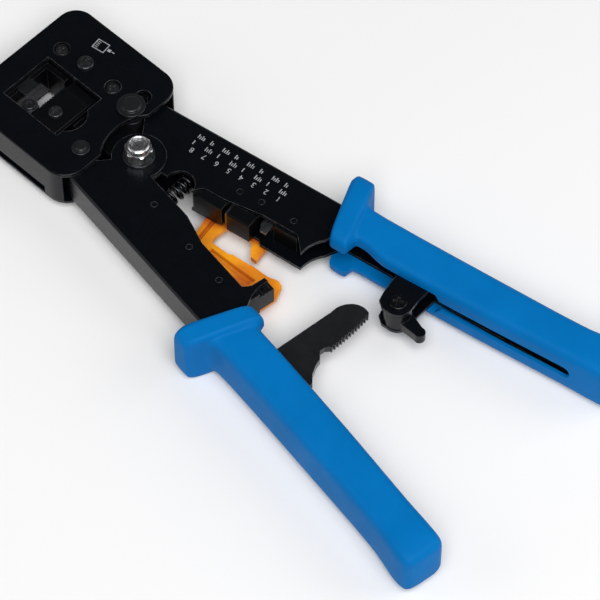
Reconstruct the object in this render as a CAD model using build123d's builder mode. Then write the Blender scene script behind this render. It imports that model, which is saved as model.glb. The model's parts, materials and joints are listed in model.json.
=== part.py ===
"""Ratcheting crimping tool for modular plugs: two folded-sheet handles, a plated head and a sliding ram.

The tool lies on its back with the handles open. +Y points to the nose, +Z is the front face.
Head pieces are laid out from the main pivot bolt. Handle pieces are laid out in their own
handle's frame: "out" is the distance outward from the handle's axis through the pivot bolt,
"down" is the distance along that axis towards the grip's end.
"""
import os
from math import cos, hypot, radians, sin, sqrt

from build123d import *

os.makedirs("parts", exist_ok=True)

# ---- where the main pivot stands in the part's frame (origin under the middle of the tool) ----
PIVOT_X = 0.0
PIVOT_Y = 52.1
MID_Z = 10.2

# ---- linkage ----
HALF_OPEN = radians(8.903)      # each handle's angle from the tool's axis when open
PIN_OUT = 12.91                 # head pins, in the handle frame: out from the axis
PIN_UP = 12.30                  # and up towards the nose
PIN_X = PIN_OUT * cos(HALF_OPEN) - PIN_UP * sin(HALF_OPEN)
PIN_Y = PIN_OUT * sin(HALF_OPEN) + PIN_UP * cos(HALF_OPEN)
SLIDE_TRAVEL = 2 * (PIN_OUT - PIN_X)
HEAD_MID_X = SLIDE_TRAVEL / 2   # the head's centre line, midway between the pins when closed

# ---- sheet layers, as half-thicknesses from the tool's mid-plane ----
SHEET = 1.1
RIGHT_OUT = 4.7
RIGHT_IN = RIGHT_OUT - SHEET
LEFT_OUT = 6.05
LEFT_IN = LEFT_OUT - SHEET
HEAD_IN = 6.3
HEAD_OUT = HEAD_IN + SHEET

# ---- fits and shafts ----
RUNNING = 0.05
PIN_R = 2.4
SLOT_R = 2.5
BOLT_R = 2.5

# ---- head ----
HEAD_HALF = 25.55
NOSE_Y = 55.4
TAIL_Y = 8.1
NOSE_R = 6.5
LOBE_R = 7.6
SCOOP_Y = 11.9
SCOOP_HALF = 10.2
WINDOW_LEFT, WINDOW_RIGHT = -12.4, 6.8
WINDOW_BACK, WINDOW_NOSE = 23.0, 46.4
CAVITY_LEFT, CAVITY_RIGHT = -6.9, 5.1
CAVITY_BACK, CAVITY_NOSE = 38.0, 45.6

# ---- handles ----
SPINE_OUT = 21.4
NOSE_ROUND = SPINE_OUT - PIN_OUT
EAR_R = 6.2
CHANNEL_END = 150.0
CHANNEL_EDGE = 12.6             # channel's open edge inside the grip

# ---- ratchet ----
PAWL_OUT, PAWL_DOWN = 0.9, 94.4
PAWL_R = 4.3
PAWL_PIN_R = 1.6
NOSE_REACH = 6.5
NOSE_TILT = 29.5
TOOTH_TIP_R = 88.6
TOOTH_ROOT_R = 88.05
TEETH = 13
TOOTH_FIRST, TOOTH_LAST = 14.6, 3.6
ARM_HALF = 1.25


def head(z):
    """Plane of the head at height z above the mid-plane, centred on the main pivot."""
    return Plane(origin=(PIVOT_X, PIVOT_Y, MID_Z + z))


def handle(side, z):
    """Plane of a handle, side +1 right or -1 left: local X outward times side, local Y up it."""
    return Plane(
        origin=(PIVOT_X, PIVOT_Y, MID_Z + z),
        x_dir=(cos(HALF_OPEN), side * sin(HALF_OPEN), 0),
        z_dir=(0, 0, 1),
    )


def at(side, out, down):
    """Handle position as the local coordinates of its plane."""
    return (side * out, -down)


def region(points, side=1):
    """Fill a closed polygon given as (out, down) points."""
    with BuildLine() as border:
        Polyline(*[at(side, out, down) for out, down in points], close=True)
    make_face(border.edges())


def area(points):
    """Fill a closed polygon given as plain local points."""
    with BuildLine() as border:
        Polyline(*points, close=True)
    make_face(border.edges())


def block(low_x, high_x, low_y, high_y):
    """Fill a rectangle between two corners."""
    area([(low_x, low_y), (high_x, low_y), (high_x, high_y), (low_x, high_y)])


def save(piece, name):
    piece.part.label = name
    export_step(piece.part, f"parts/{name}.step")


# ======================================================================================
# Head
# ======================================================================================

def head_outline():
    """Plate outline: rounded nose, two rear lobes and a shallow scoop around the pivot bolt."""
    left, right = HEAD_MID_X - HEAD_HALF, HEAD_MID_X + HEAD_HALF
    with BuildLine() as border:
        FilletPolyline(
            (HEAD_MID_X - SCOOP_HALF, TAIL_Y),
            (left, TAIL_Y),
            (left, NOSE_Y),
            (right, NOSE_Y),
            (right, TAIL_Y),
            (HEAD_MID_X + SCOOP_HALF, TAIL_Y),
            radius=(LOBE_R, NOSE_R, NOSE_R, LOBE_R),
        )
        ThreePointArc(
            (HEAD_MID_X + SCOOP_HALF, TAIL_Y),
            (HEAD_MID_X, SCOOP_Y),
            (HEAD_MID_X - SCOOP_HALF, TAIL_Y),
        )
    make_face(border.edges())


def pin_slot():
    """Slot along which the right handle's pin slides, and the left handle's rivet hole."""
    slack = 1.2
    with Locations(((2 * PIN_X + SLIDE_TRAVEL + slack) / 2, PIN_Y)):
        SlotCenterToCenter(SLIDE_TRAVEL + slack, 2 * SLOT_R, mode=Mode.SUBTRACT)
    with Locations((-PIN_X, PIN_Y)):
        Circle(PIN_R, mode=Mode.SUBTRACT)


GUIDE_SCREWS = [(11.9, 45.6), (12.4, 23.7)]
PAN_SCREW = (12.8, 36.1)
GUIDE_HOLE_R = 2.6

with BuildPart() as head_front_plate:
    with BuildSketch(head(HEAD_IN)):
        head_outline()
        block_width = WINDOW_RIGHT - WINDOW_LEFT
        with Locations(((WINDOW_LEFT + WINDOW_RIGHT) / 2, (WINDOW_BACK + WINDOW_NOSE) / 2)):
            Rectangle(block_width, WINDOW_NOSE - WINDOW_BACK, mode=Mode.SUBTRACT)
        with Locations((-4.7, 26.6)):
            Circle(6.5, mode=Mode.SUBTRACT)
        with Locations(*GUIDE_SCREWS):
            Circle(GUIDE_HOLE_R, mode=Mode.SUBTRACT)
        with Locations(PAN_SCREW):
            Circle(1.5, mode=Mode.SUBTRACT)
        pin_slot()
    extrude(amount=SHEET)
    rim = head_front_plate.faces().sort_by(Axis.Z)[-1].outer_wire().edges()
    fillet(rim, radius=0.45)
save(head_front_plate, "head_front_plate")

BACK_SCREWS = [(-17.0, 48.5), (-17.0, 30.0), (12.8, 40.8), (12.8, 30.8)]

with BuildPart() as head_back_plate:
    with BuildSketch(head(-HEAD_OUT)):
        head_outline()
        with Locations(((CAVITY_LEFT + CAVITY_RIGHT) / 2, (CAVITY_BACK + CAVITY_NOSE) / 2)):
            Rectangle(
                CAVITY_RIGHT - CAVITY_LEFT, CAVITY_NOSE - CAVITY_BACK, mode=Mode.SUBTRACT
            )
        with Locations(*BACK_SCREWS):
            Circle(1.5, mode=Mode.SUBTRACT)
        pin_slot()
    extrude(amount=SHEET)
    rim = head_back_plate.faces().sort_by(Axis.Z)[0].outer_wire().edges()
    fillet(rim, radius=0.45)
save(head_back_plate, "head_back_plate")

# Side walls close the head's flanks: low along the flank, full height round the rear corner.
WALL = 2.0
WALL_SLOT = -3.3
WALL_TAIL_Y = 11.2
for side, name in ((-1, "side_wall_left"), (1, "side_wall_right")):
    flank = HEAD_MID_X + side * HEAD_HALF
    inner = flank - side * WALL
    corner = (flank - side * LOBE_R, TAIL_Y + LOBE_R)
    with BuildPart() as side_wall:
        with BuildSketch(head(WALL_SLOT)):
            block(min(flank, inner), max(flank, inner), corner[1], NOSE_Y - NOSE_R)
        extrude(amount=HEAD_IN - WALL_SLOT)
        with BuildSketch(head(-HEAD_IN)):
            with Locations(corner):
                Circle(LOBE_R)
                Circle(LOBE_R - WALL, mode=Mode.SUBTRACT)
            with BuildLine() as keep:
                Polyline(
                    (flank, corner[1]), (inner, corner[1]), (inner + side * 0.05, WALL_TAIL_Y),
                    (flank, WALL_TAIL_Y), close=True,
                )
            make_face(keep.edges(), mode=Mode.INTERSECT)
            block(min(flank, inner), max(flank, inner), corner[1], corner[1] + 2.2)
        extrude(amount=2 * HEAD_IN)
    save(side_wall, name)

# Nest block: holds the plug cavity's nose side and right wall, and fills the nose's left half.
NEST_FRONT = 4.0
with BuildPart() as nest_block:
    with BuildSketch(head(-HEAD_IN)):
        area([
            (-21.0, 24.0), (-12.9, 24.0), (-12.9, CAVITY_NOSE), (CAVITY_RIGHT, CAVITY_NOSE),
            (CAVITY_RIGHT, 37.8), (6.8, 37.8), (6.8, 54.4), (-21.0, 54.4),
        ])
        with Locations(*BACK_SCREWS[:2]):
            Circle(1.5, mode=Mode.SUBTRACT)
    extrude(amount=NEST_FRONT + HEAD_IN)
    with BuildSketch(head(NEST_FRONT)):
        area([
            (-21.0, 24.0), (-12.9, 24.0), (-12.9, WINDOW_NOSE + 0.6), (6.8, WINDOW_NOSE + 0.6),
            (6.8, 54.4), (-21.0, 54.4),
        ])
        with Locations(*BACK_SCREWS[:2]):
            Circle(1.5, mode=Mode.SUBTRACT)
    extrude(amount=HEAD_IN - NEST_FRONT)
save(nest_block, "nest_block")

# Hardened counter-edge that the trim blade shears the wires against.
with BuildPart() as trim_anvil:
    with BuildSketch(head(NEST_FRONT)):
        block(-7.0, -1.3, 42.3, 46.4)
    extrude(amount=0.5)
    chamfer(trim_anvil.edges().filter_by(Axis.Z), length=0.5)
save(trim_anvil, "trim_anvil")

# Guide block: right-hand rail for the ram, with a pocket for the ram's return spring.
SPRING_X, SPRING_BACK, SPRING_NOSE = 8.9, 27.4, 36.0
with BuildPart() as guide_block:
    with BuildSketch(head(-HEAD_IN)):
        block(7.0, 18.4, 23.4, 50.2)
        with Locations(*BACK_SCREWS[2:]):
            Circle(1.5, mode=Mode.SUBTRACT)
    extrude(amount=2 * HEAD_IN)
    with BuildSketch(head(-2.2)):
        block(6.5, 10.9, 22.0, SPRING_NOSE)
    extrude(amount=4.4, mode=Mode.SUBTRACT)
    with BuildSketch(head(5.0)):
        block(8.6, 16.2, 20.4, 23.4)
    extrude(amount=HEAD_IN - 5.0)
    with BuildSketch(head(5.0)):
        with Locations(*GUIDE_SCREWS):
            Circle(1.3)
        with Locations(PAN_SCREW):
            Circle(1.5)
    extrude(amount=HEAD_IN - 5.0, mode=Mode.SUBTRACT)
save(guide_block, "guide_block")


with BuildPart() as guide_screws:
    with BuildSketch(head(5.0)):
        with Locations(*GUIDE_SCREWS):
            Circle(1.3)
    extrude(amount=HEAD_IN - 5.0)
    with BuildSketch(head(HEAD_IN)):
        with Locations(*GUIDE_SCREWS):
            Circle(1.95)
    extrude(amount=0.55)
    fillet(guide_screws.faces().group_by(Axis.Z)[-1].edges(), radius=0.2)
    with BuildSketch(head(HEAD_IN + 0.1)):
        with Locations(*GUIDE_SCREWS):
            Rectangle(2.3, 0.6)
            Rectangle(0.6, 2.3)
    extrude(amount=1.0, mode=Mode.SUBTRACT)
save(guide_screws, "guide_screws")


def pan_screw(piece, centre, seat_z, head_r, head_h, shank_r, shank_to):
    """Pan-head cross-recess screw in the head's frame."""
    with BuildSketch(head(seat_z)) as disc:
        with Locations(centre):
            Circle(head_r)
    extrude(disc.sketch, amount=head_h)
    fillet(piece.faces().sort_by(Axis.Z)[-1].edges(), radius=0.7 * head_h)
    with BuildSketch(head(seat_z + 0.45 * head_h)) as recess:
        with Locations(centre):
            Rectangle(1.25 * head_r, 0.26 * head_r)
            Rectangle(0.26 * head_r, 1.25 * head_r)
    extrude(recess.sketch, amount=head_h, mode=Mode.SUBTRACT)
    with BuildSketch(head(shank_to)) as shank:
        with Locations(centre):
            Circle(shank_r)
    extrude(shank.sketch, amount=seat_z - shank_to)


with BuildPart() as stop_screw:
    pan_screw(stop_screw, PAN_SCREW, HEAD_OUT, 2.75, 1.1, 1.5, 5.0)
save(stop_screw, "stop_screw")

with BuildPart() as back_screws:
    with BuildSketch(head(-HEAD_OUT)):
        with Locations(*BACK_SCREWS):
            Circle(1.5)
    extrude(amount=5.0)
    with BuildSketch(head(-HEAD_OUT - 1.0)):
        with Locations(*BACK_SCREWS):
            Circle(2.6)
            Rectangle(2.8, 0.6, mode=Mode.SUBTRACT)
            Rectangle(0.6, 2.8, mode=Mode.SUBTRACT)
    extrude(amount=0.5)
    with BuildSketch(head(-HEAD_OUT - 0.5)):
        with Locations(*BACK_SCREWS):
            Circle(2.6)
    extrude(amount=0.5)
save(back_screws, "back_screws")

# Rivet on which the left handle swings.
RIVET_HEAD_R, RIVET_DOME_R, RIVET_HEAD_H = 2.85, 1.75, 1.2
with BuildPart() as pivot_rivet:
    with BuildSketch(head(-HEAD_OUT)):
        with Locations((-PIN_X, PIN_Y)):
            Circle(PIN_R)
    extrude(amount=2 * HEAD_OUT)
    for seat, radius, amount in (
        (HEAD_OUT, RIVET_HEAD_R, 0.55), (HEAD_OUT, RIVET_DOME_R, RIVET_HEAD_H),
        (-HEAD_OUT, RIVET_HEAD_R, -RIVET_HEAD_H),
    ):
        with BuildSketch(head(seat)):
            with Locations((-PIN_X, PIN_Y)):
                Circle(radius)
        extrude(amount=amount)
    fillet(pivot_rivet.faces().filter_by(Axis.Z).sort_by(Axis.Z)[-2].outer_wire().edges(), radius=0.3)
    fillet(pivot_rivet.faces().sort_by(Axis.Z)[-1].edges(), radius=0.5)
    fillet(pivot_rivet.faces().sort_by(Axis.Z)[0].edges(), radius=0.7)
save(pivot_rivet, "pivot_rivet")

# ======================================================================================
# Ram
# ======================================================================================
RAM_LEFT, RAM_RIGHT = -12.2, 6.55
RAM_BACK, RAM_NOSE = 24.2, 35.6
RAM_TOP, RAM_BOTTOM = 5.2, -6.1
ROLLER_R = 4.0
TAIL_HALF_Z = 3.25

with BuildPart() as ram_block:
    with BuildSketch(head(RAM_BOTTOM)):
        block(RAM_LEFT, RAM_RIGHT, RAM_BACK, RAM_NOSE)
        block(RAM_LEFT, -7.3, RAM_NOSE, 41.2)
    extrude(amount=4.4 - RAM_BOTTOM)
    with BuildSketch(head(4.4)):
        block(RAM_LEFT, 3.2, RAM_BACK, RAM_NOSE)
    extrude(amount=RAM_TOP - 4.4)
    with BuildSketch(head(-TAIL_HALF_Z)):
        block(-4.5, 6.0, ROLLER_R + 0.1, RAM_BACK)
    extrude(amount=2 * TAIL_HALF_Z)
    with BuildSketch(head(-1.9)):
        block(RAM_RIGHT, 10.6, 24.6, SPRING_BACK)
    extrude(amount=3.8)
save(ram_block, "ram_block")

# Crimp punch: a comb of eight contact drivers.
CONTACTS = 8
CONTACT_PITCH = 1.02
PUNCH_MID_X = (CAVITY_LEFT + CAVITY_RIGHT) / 2
with BuildPart() as crimp_punch:
    with BuildSketch(head(-4.2)):
        block(CAVITY_LEFT + 0.2, CAVITY_RIGHT - 0.2, RAM_NOSE, 36.6)
        for i in range(CONTACTS):
            x = PUNCH_MID_X + (i - (CONTACTS - 1) / 2) * CONTACT_PITCH
            block(x - 0.26, x + 0.26, 36.6, 37.8)
    extrude(amount=6.0)
save(crimp_punch, "crimp_punch")

BLADE_Z = 4.6
BLADE_SCREW = (-9.3, 38.4)
with BuildPart() as trim_blade:
    with BuildSketch(head(BLADE_Z)):
        area([
            (-11.9, 35.9), (-7.4, 35.9), (-6.6, 38.2), (-0.9, 38.2), (-0.9, 42.0), (-11.9, 42.0),
        ])
        with Locations(BLADE_SCREW):
            Circle(1.3, mode=Mode.SUBTRACT)
    extrude(amount=0.8)
    with BuildSketch(head(4.4)):
        block(-11.9, -7.6, 36.2, 40.9)
        with Locations(BLADE_SCREW):
            Circle(1.3, mode=Mode.SUBTRACT)
    extrude(amount=BLADE_Z - 4.4)
save(trim_blade, "trim_blade")

with BuildPart() as blade_screw:
    with BuildSketch(head(4.4)):
        with Locations(BLADE_SCREW):
            Circle(1.3)
    extrude(amount=BLADE_Z + 0.8 - 4.4)
    with BuildSketch(head(BLADE_Z + 0.8)):
        with Locations(BLADE_SCREW):
            Circle(2.2)
    extrude(amount=0.9)
    fillet(blade_screw.faces().sort_by(Axis.Z)[-1].edges(), radius=0.5)
    with BuildSketch(head(BLADE_Z + 1.1)):
        with Locations(BLADE_SCREW):
            RegularPolygon(0.95, 6)
    extrude(amount=1.0, mode=Mode.SUBTRACT)
save(blade_screw, "blade_screw")

COVER_SCREW = (-6.1, 30.1)
COVER_TOP = 6.1
with BuildPart() as ram_cover:
    with BuildSketch(head(RAM_TOP)):
        block(-11.6, 2.3, 24.5, 35.0)
        with Locations(COVER_SCREW):
            Circle(1.2, mode=Mode.SUBTRACT)
    extrude(amount=COVER_TOP - RAM_TOP)
    chamfer(ram_cover.faces().sort_by(Axis.Z)[-1].outer_wire().edges(), length=0.25)
save(ram_cover, "ram_cover")

with BuildPart() as cover_screw:
    pan_screw(cover_screw, COVER_SCREW, COVER_TOP, 2.3, 0.9, 1.2, RAM_TOP)
save(cover_screw, "cover_screw")

with BuildPart() as ram_return_spring:
    with BuildSketch(Plane(
        origin=(PIVOT_X + SPRING_X, PIVOT_Y + SPRING_BACK + 0.05, MID_Z), z_dir=(0, 1, 0)
    )):
        Circle(1.6)
        Circle(1.1, mode=Mode.SUBTRACT)
    extrude(amount=SPRING_NOSE - SPRING_BACK - 0.1)
save(ram_return_spring, "ram_return_spring")

# ======================================================================================
# Handle channels
# ======================================================================================

def nose_and_ear(side):
    """Flange's upper end: a tangent web from the head pin's round to the pivot's ear."""
    with BuildLine() as rounds:
        with Locations(at(side, PIN_OUT, -PIN_UP)):
            CenterArc((0, 0), NOSE_ROUND, 0, 360)
        CenterArc((0, 0), EAR_R, 0, 360)
    make_hull(rounds.edges())


def spine_strip(side):
    """Folded back wall: straight down the outside, and bent round the head pin at the nose."""
    centre = at(side, PIN_OUT, -PIN_UP)
    start = 0 if side > 0 else 180
    sweep_angle = 80 * side
    with BuildLine() as border:
        outer = CenterArc(centre, NOSE_ROUND, start, sweep_angle)
        inner = CenterArc(centre, NOSE_ROUND - SHEET, start, sweep_angle)
        Line(outer @ 1, inner @ 1)
        Polyline(
            outer @ 0, at(side, SPINE_OUT, CHANNEL_END),
            at(side, SPINE_OUT - SHEET, CHANNEL_END), inner @ 0,
        )
    make_face(border.edges())


def flange(side, edge, lobe_tip, lobe_mid, lobe_end):
    """One flange: web, ear and main strip, with its open edge and lobe beside the grip."""
    nose_and_ear(side)
    with BuildLine() as border:
        Polyline(*[at(side, out, down) for out, down in edge], at(side, *lobe_tip))
        ThreePointArc(at(side, *lobe_tip), at(side, *lobe_mid), at(side, *lobe_end))
        Polyline(
            at(side, *lobe_end), at(side, CHANNEL_EDGE, lobe_end[1] + 3.0),
            at(side, CHANNEL_EDGE, CHANNEL_END), at(side, SPINE_OUT, CHANNEL_END),
            at(side, SPINE_OUT, -PIN_UP), at(side, *edge[0]),
        )
    make_face(border.edges())


def channel_holes(side, pivot_r, pin_r):
    Circle(pivot_r, mode=Mode.SUBTRACT)
    with Locations(at(side, PIN_OUT, -PIN_UP)):
        Circle(pin_r, mode=Mode.SUBTRACT)


def spine_edges(piece, side, half):
    """The two long fold edges of a channel."""
    return [
        edge for edge in piece.edges().filter_by(GeomType.LINE)
        if edge.length > 100
        and abs(abs(edge.center().Z - MID_Z) - half) < 0.01
        and abs(handle(side, 0).to_local_coords(edge.center()).X - side * SPINE_OUT) < 0.01
    ]


PEG_R = 0.95
ARM_RIVETS = [(16.4, 83.0), (16.4, 91.0)]
LEFT_PINS = [(7.0, 17.4), (7.9, 36.3), (8.0, 51.3)]
LEFT_EDGE = [(0, 0), (1.7, 8.5), (1.6, 27.0), (4.0, 37.5), (4.0, 57.4), (1.6, 58.8), (-3.2, 58.9)]
GUARD_SEAT = [(5.0, 24.0), (5.0, 57.0)]
FOLD_R = 1.05

with BuildPart() as left_channel:
    with BuildSketch(handle(-1, LEFT_IN)):
        flange(-1, LEFT_EDGE, (-3.4, 60.4), (2.2, 61.2), (7.0, 64.0))
        channel_holes(-1, BOLT_R, PIN_R + RUNNING)
        with Locations(*[at(-1, *p) for p in LEFT_PINS]):
            Circle(PEG_R, mode=Mode.SUBTRACT)
        with Locations(*[at(-1, *p) for p in ARM_RIVETS]):
            Circle(2.0, mode=Mode.SUBTRACT)
    extrude(amount=SHEET)
    with BuildSketch(handle(-1, -LEFT_OUT)):
        flange(
            -1, [(0, 0), (1.7, 8.5), (1.6, 22.0), *GUARD_SEAT, (5.0, 58.0)],
            (3.0, 60.4), (4.6, 61.4), (7.0, 64.0),
        )
        channel_holes(-1, BOLT_R, PIN_R + RUNNING)
        with Locations(*[at(-1, *p) for p in LEFT_PINS[1:]]):
            Circle(PEG_R, mode=Mode.SUBTRACT)
        with Locations(*[at(-1, *p) for p in ARM_RIVETS]):
            Circle(2.0, mode=Mode.SUBTRACT)
    extrude(amount=SHEET)
    with BuildSketch(handle(-1, -LEFT_IN)):
        spine_strip(-1)
    extrude(amount=2 * LEFT_IN)
    fillet(spine_edges(left_channel, -1, LEFT_OUT), radius=FOLD_R)
save(left_channel, "left_channel")

BLOCK_PINS = [(7.4, 32.4), (7.9, 40.0), (7.7, 52.0)]
ARM_POCKET = [(17.0, 76.0), (22.6, 76.0), (22.6, 90.5), (17.0, 90.5)]
EAR_EDGE = [
    (13.6, 88.2), (1.7, 88.6), (-1.4, 89.1), (-3.4, 91.4), (-3.4, 94.4),
    (PAWL_OUT, 94.4), (PAWL_OUT, PAWL_DOWN + PAWL_R + 0.2), (5.2, 98.9), (13.6, 100.2),
]


def pawl_ear():
    """Lobe of the right flange that carries the pawl's pin."""
    region(EAR_EDGE, 1)
    with Locations(at(1, PAWL_OUT, PAWL_DOWN)):
        Circle(PAWL_R + 0.2)


with BuildPart() as right_channel:
    with BuildSketch(handle(1, RIGHT_IN)):
        flange(
            1, [(0, 0), (-0.5, 9.0), (-0.5, 20.0), (2.2, 22.6), (2.3, 30.0), (4.2, 43.0), (4.2, 55.8)],
            (-0.8, 60.4), (3.0, 61.0), (7.2, 63.6),
        )
        with Locations(at(1, -0.6, 15.6)):
            Circle(4.7, mode=Mode.SUBTRACT)
        pawl_ear()
        channel_holes(1, BOLT_R + RUNNING, PIN_R)
        with Locations(*[at(1, *p) for p in BLOCK_PINS]):
            Circle(PEG_R, mode=Mode.SUBTRACT)
        with Locations(at(1, PAWL_OUT, PAWL_DOWN)):
            Circle(PAWL_PIN_R, mode=Mode.SUBTRACT)
    extrude(amount=SHEET)
    with BuildSketch(handle(1, -RIGHT_OUT)):
        flange(
            1, [
                (0, 0), (-0.5, 9.0), (-1.2, 20.5), (-1.0, 29.8), (2.2, 31.4), (2.0, 35.2),
                (-0.4, 36.5), (-0.4, 41.0), (0.8, 41.3), (0.8, 43.9), (-0.5, 45.2),
            ],
            (-0.7, 60.2), (3.0, 60.9), (7.2, 63.6),
        )
        with Locations(at(1, -0.6, 15.6)):
            Circle(4.7, mode=Mode.SUBTRACT)
        pawl_ear()
        channel_holes(1, BOLT_R + RUNNING, PIN_R)
        with Locations(*[at(1, *p) for p in BLOCK_PINS]):
            Circle(PEG_R, mode=Mode.SUBTRACT)
        with Locations(at(1, PAWL_OUT, PAWL_DOWN)):
            Circle(PAWL_PIN_R, mode=Mode.SUBTRACT)
    extrude(amount=SHEET)
    with BuildSketch(handle(1, -RIGHT_IN)):
        spine_strip(1)
    extrude(amount=2 * RIGHT_IN)
    fillet(spine_edges(right_channel, 1, RIGHT_OUT), radius=FOLD_R)
    with BuildSketch(handle(1, -1.8)):
        region(ARM_POCKET, 1)
    extrude(amount=3.6, mode=Mode.SUBTRACT)
save(right_channel, "right_channel")

# ======================================================================================
# Pivot hardware
# ======================================================================================
WASHER_R, WASHER_H = 5.0, 0.8
NUT_AF, NUT_H = 8.0, 5.4
BOLT_HEAD_H = MID_Z - LEFT_OUT - WASHER_H

with BuildPart() as pivot_bolt:
    with BuildSketch(head(-MID_Z)):
        RegularPolygon(NUT_AF / 2, 6, major_radius=False)
    extrude(amount=BOLT_HEAD_H)
    with BuildSketch(head(-LEFT_OUT - WASHER_H)):
        Circle(BOLT_R)
    extrude(amount=2 * LEFT_OUT + 2 * WASHER_H + NUT_H - 0.9)
    chamfer(pivot_bolt.faces().sort_by(Axis.Z)[-1].edges(), length=0.5)
save(pivot_bolt, "pivot_bolt")

with BuildPart() as pivot_washers:
    for seat, amount in ((LEFT_OUT, WASHER_H), (-LEFT_OUT, -WASHER_H)):
        with BuildSketch(head(seat)):
            Circle(WASHER_R)
            Circle(BOLT_R, mode=Mode.SUBTRACT)
        extrude(amount=amount)
    fillet(pivot_washers.faces().sort_by(Axis.Z)[-1].outer_wire().edges(), radius=0.25)
save(pivot_washers, "pivot_washers")

# Self-locking nut: hexagon body with a round crimped collar on top.
HEX_H = 3.7
with BuildPart() as pivot_nut:
    with BuildSketch(head(LEFT_OUT + WASHER_H)):
        RegularPolygon(NUT_AF / 2, 6, major_radius=False)
    extrude(amount=HEX_H)
    with BuildSketch(head(LEFT_OUT + WASHER_H - 0.2)):
        Circle(NUT_AF / 2 + 0.42)
    extrude(amount=HEX_H + 0.4, mode=Mode.INTERSECT)
    with BuildSketch(head(LEFT_OUT + WASHER_H + HEX_H)):
        Circle(3.85)
    extrude(amount=NUT_H - HEX_H)
    fillet(pivot_nut.faces().sort_by(Axis.Z)[-1].edges(), radius=0.8)
    with BuildSketch(head(LEFT_OUT + WASHER_H)):
        Circle(BOLT_R)
    extrude(amount=NUT_H, mode=Mode.SUBTRACT)
save(pivot_nut, "pivot_nut")

# Roller on the pivot bolt that pushes the ram's tail.
with BuildPart() as ram_roller:
    with BuildSketch(head(-RIGHT_IN + 0.2)):
        Circle(ROLLER_R)
        Circle(BOLT_R, mode=Mode.SUBTRACT)
    extrude(amount=2 * RIGHT_IN - 0.4)
save(ram_roller, "ram_roller")

with BuildPart() as left_bushing:
    with BuildSketch(handle(-1, -LEFT_IN)):
        with Locations(at(-1, PIN_OUT, -PIN_UP)):
            Circle(3.8)
            Circle(PIN_R + RUNNING, mode=Mode.SUBTRACT)
    extrude(amount=2 * LEFT_IN)
save(left_bushing, "left_bushing")

with BuildPart() as right_bushing:
    with BuildSketch(handle(1, -RIGHT_IN)):
        with Locations(at(1, PIN_OUT, -PIN_UP)):
            Circle(3.8)
            Circle(PIN_R, mode=Mode.SUBTRACT)
    extrude(amount=2 * RIGHT_IN)
save(right_bushing, "right_bushing")

# Sliding pin: fixed in the right handle, running along the slots of both head plates.
SLIDE_HEAD_R, SLIDE_HEAD_H = 4.5, 1.5
SLIDE_GAP = 0.15
with BuildPart() as slide_pin:
    with BuildSketch(handle(1, -HEAD_OUT - SLIDE_GAP)):
        with Locations(at(1, PIN_OUT, -PIN_UP)):
            Circle(PIN_R)
    extrude(amount=2 * (HEAD_OUT + SLIDE_GAP))
    with BuildSketch(handle(1, HEAD_OUT + SLIDE_GAP)):
        with Locations(at(1, PIN_OUT, -PIN_UP)):
            Circle(SLIDE_HEAD_R)
    extrude(amount=0.8)
    with BuildSketch(handle(1, HEAD_OUT + SLIDE_GAP + 0.8)):
        with Locations(at(1, PIN_OUT, -PIN_UP)):
            Circle(3.1)
    extrude(amount=SLIDE_HEAD_H - 0.8)
    fillet(slide_pin.faces().sort_by(Axis.Z)[-1].edges(), radius=0.5)
save(slide_pin, "slide_pin")

with BuildPart() as slide_pin_cap:
    with BuildSketch(handle(1, -HEAD_OUT - SLIDE_GAP)):
        with Locations(at(1, PIN_OUT, -PIN_UP)):
            Circle(SLIDE_HEAD_R)
    extrude(amount=-SLIDE_HEAD_H)
    fillet(slide_pin_cap.faces().sort_by(Axis.Z)[0].edges(), radius=0.6)
save(slide_pin_cap, "slide_pin_cap")

# ======================================================================================
# Return spring between the handles
# ======================================================================================
SEAT_OUT, SEAT_DOWN = 7.6, 15.8
SEAT_R = 3.6
COIL_R, WIRE_R = 2.7, 0.4
seat_x = SEAT_OUT * cos(HALF_OPEN) + SEAT_DOWN * sin(HALF_OPEN)
seat_y = SEAT_OUT * sin(HALF_OPEN) - SEAT_DOWN * cos(HALF_OPEN)

for side, name in ((-1, "left_spring_seat"), (1, "right_spring_seat")):
    half = LEFT_IN if side < 0 else RIGHT_IN
    with BuildPart() as spring_seat:
        with BuildSketch(handle(side, -half)):
            region([
                (SEAT_OUT + 0.6, 11.5), (SPINE_OUT - SHEET, 11.5), (SPINE_OUT - SHEET, 20.1),
                (SEAT_OUT + 0.6, 20.1),
            ], side)
        extrude(amount=2 * half)
        with BuildSketch(Plane(
            origin=(PIVOT_X + side * (seat_x + 3.0), PIVOT_Y + seat_y, MID_Z), z_dir=(-side, 0, 0)
        )):
            Circle(COIL_R - WIRE_R - 0.15)
        extrude(amount=4.5)
        fillet(
            spring_seat.faces().sort_by(Axis.X)[0 if side > 0 else -1].edges(), radius=0.6
        )
    save(spring_seat, name)

with BuildPart() as return_spring:
    with BuildSketch(Plane(
        origin=(PIVOT_X - seat_x - 0.1, PIVOT_Y + seat_y, MID_Z), z_dir=(1, 0, 0)
    )):
        Circle(COIL_R + WIRE_R)
        Circle(COIL_R - WIRE_R, mode=Mode.SUBTRACT)
    extrude(amount=2 * seat_x + 0.2)
save(return_spring, "return_spring")

# ======================================================================================
# Left handle fittings
# ======================================================================================

def channel_pins(side, places, bottom, half):
    """Round pins through a channel, peened just under its front face."""
    with BuildSketch(handle(side, bottom)) as discs:
        with Locations(*[at(side, *p) for p in places]):
            Circle(PEG_R)
    extrude(discs.sketch, amount=half - bottom - 0.12)


with BuildPart() as left_pins:
    channel_pins(-1, LEFT_PINS[:1], LEFT_IN - 0.8, LEFT_OUT)
    channel_pins(-1, LEFT_PINS[1:], -LEFT_OUT, LEFT_OUT)
    fillet(left_pins.faces().group_by(Axis.Z)[-1].edges(), radius=0.3)
save(left_pins, "left_pins")

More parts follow.
